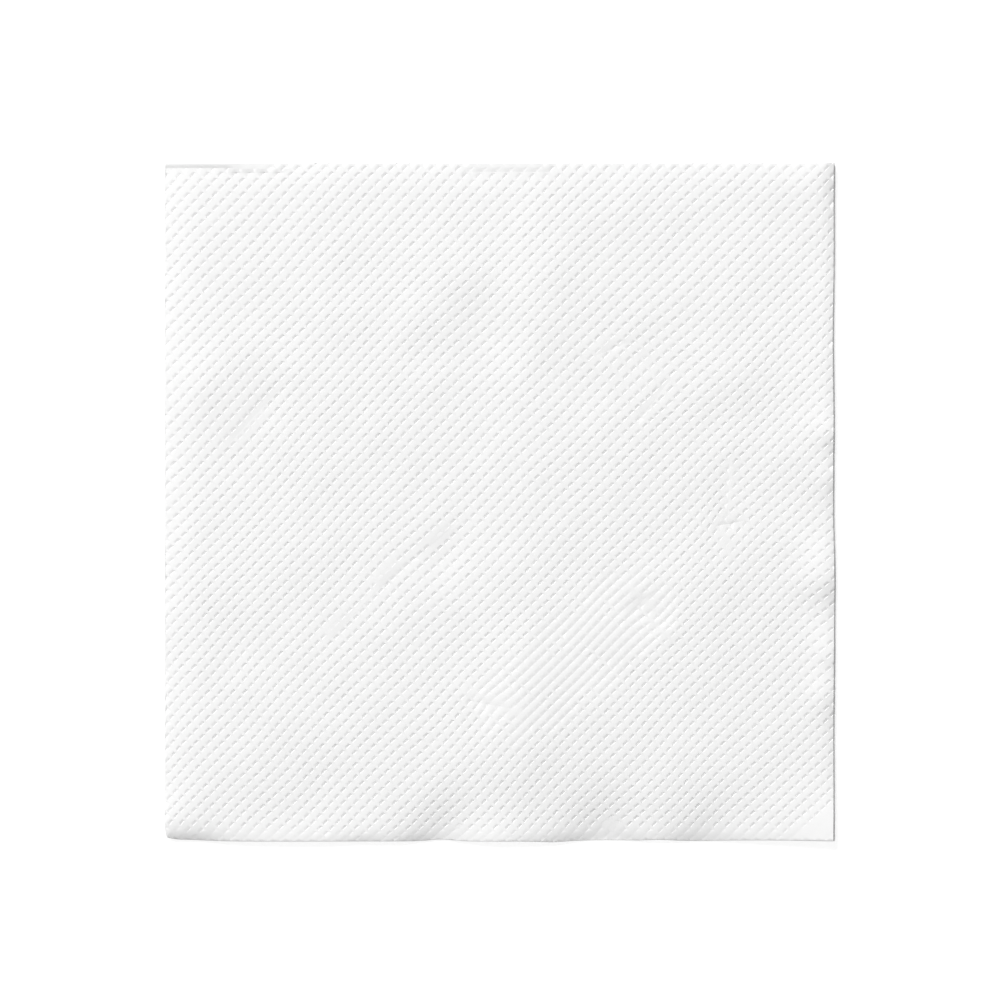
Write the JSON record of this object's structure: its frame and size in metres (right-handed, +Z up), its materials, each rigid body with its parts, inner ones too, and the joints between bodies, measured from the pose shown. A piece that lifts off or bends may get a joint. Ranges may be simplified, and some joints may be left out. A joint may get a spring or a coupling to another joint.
{
  "type": "paper napkin",
  "caption": "Square white paper napkin, embossed all over with fine dots and folded in half twice, lying flat for wiping hands or setting under a drink.",
  "frame": {"origin": "centre of the folded sheet's outline, on the surface that it lies on", "axes": "+Z up through the leaves, first fold along the -Y edge, second fold along the -X edge, open edges at +X and +Y"},
  "size_m": [0.1256, 0.1268, 0.0018],
  "materials": {
    "tissue": "matt white embossed tissue"
  },
  "bodies": {
    "root": {"napkin": "tissue"}
  },
  "joints": []
}
